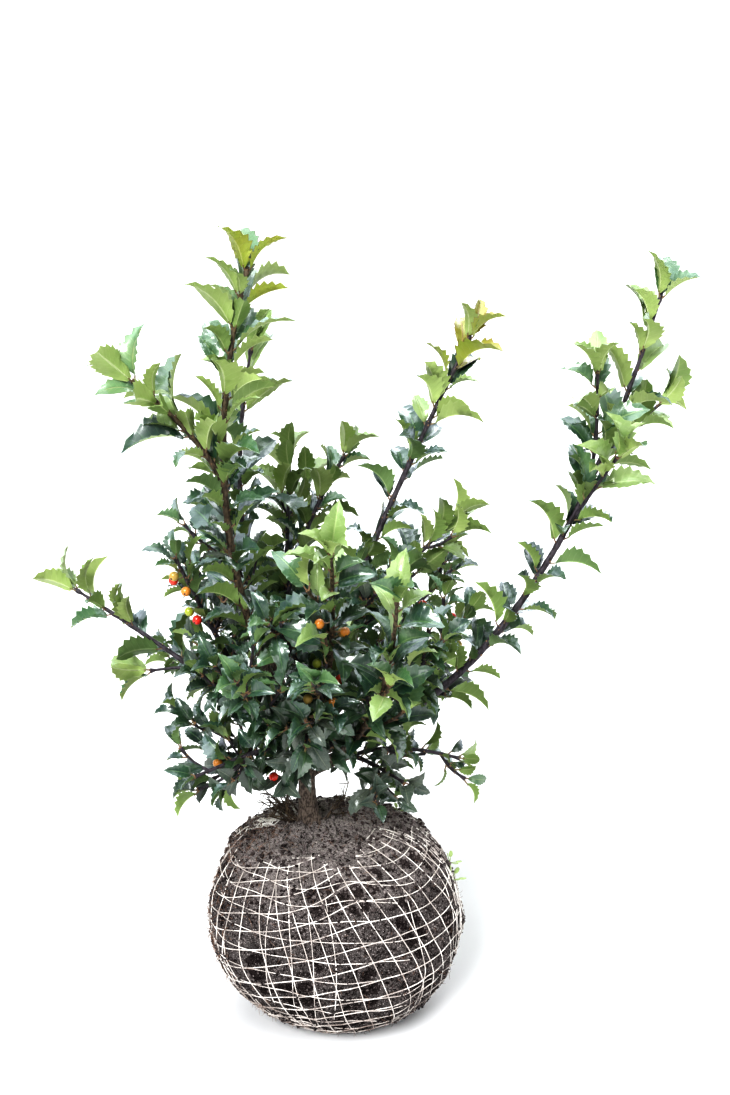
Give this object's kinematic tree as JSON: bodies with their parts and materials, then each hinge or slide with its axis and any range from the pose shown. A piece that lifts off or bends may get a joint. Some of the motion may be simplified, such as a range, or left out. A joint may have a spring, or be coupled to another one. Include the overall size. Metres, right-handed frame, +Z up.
{
  "type": "young holly shrub on a netted root ball",
  "caption": "Young holly shrub with an open crown of long spiny-leaved shoots on a short leaning trunk, standing on its round netted root ball.",
  "frame": {"origin": "on the flat underside of the root ball, below the middle of the ball", "axes": "+Z up the plant, +X to the right as seen from its front, +Y to its back"},
  "size_m": [0.541, 0.4024, 0.6579],
  "materials": {
    "soil": "dark crumbly soil in an off-white string net",
    "trunk_bark": "grey-brown bark, finely cracked",
    "shoot_bark": "smooth dark brown to purple-brown bark",
    "leaves": "glossy dark green above, matt light green below"
  },
  "bodies": {
    "root": {"root_ball": "soil", "trunk": "trunk_bark", "bough_leader": "shoot_bark", "bough_far_right": "shoot_bark", "bough_right_rear": "shoot_bark", "bough_back_left": "shoot_bark", "bough_back": "shoot_bark", "bough_front_right": "shoot_bark", "bough_front": "shoot_bark", "bough_west": "shoot_bark", "bough_front_left": "shoot_bark", "bough_low_right": "shoot_bark", "bough_low_left": "shoot_bark", "bough_rear_right": "shoot_bark", "bough_rear_left": "shoot_bark", "bough_rear": "shoot_bark", "bough_sucker": "shoot_bark", "foliage_leader": "leaves", "foliage_far_right": "leaves", "foliage_right_rear": "leaves", "foliage_back_left": "leaves", "foliage_west": "leaves", "foliage_back_high": "leaves", "foliage_back_mid": "leaves", "foliage_right_mid": "leaves", "foliage_front_high": "leaves", "foliage_front_right": "leaves", "foliage_low_right": "leaves", "foliage_left_high": "leaves", "foliage_low_left": "leaves", "foliage_right_low": "leaves", "foliage_front_low_left": "leaves", "foliage_left_low": "leaves", "foliage_front_left": "leaves", "foliage_front_mid": "leaves", "foliage_front_centre": "leaves", "foliage_left_centre": "leaves", "foliage_front_low": "leaves", "foliage_right_front": "leaves", "foliage_low_front_right": "leaves", "foliage_rear_right": "leaves", "foliage_rear_right_low": "leaves", "foliage_rear": "leaves", "foliage_rear_low": "leaves", "foliage_rear_left": "leaves", "foliage_rear_left_low": "leaves", "foliage_inner_left": "leaves", "foliage_inner_right": "leaves", "foliage_sucker": "leaves"}
  },
  "joints": []
}
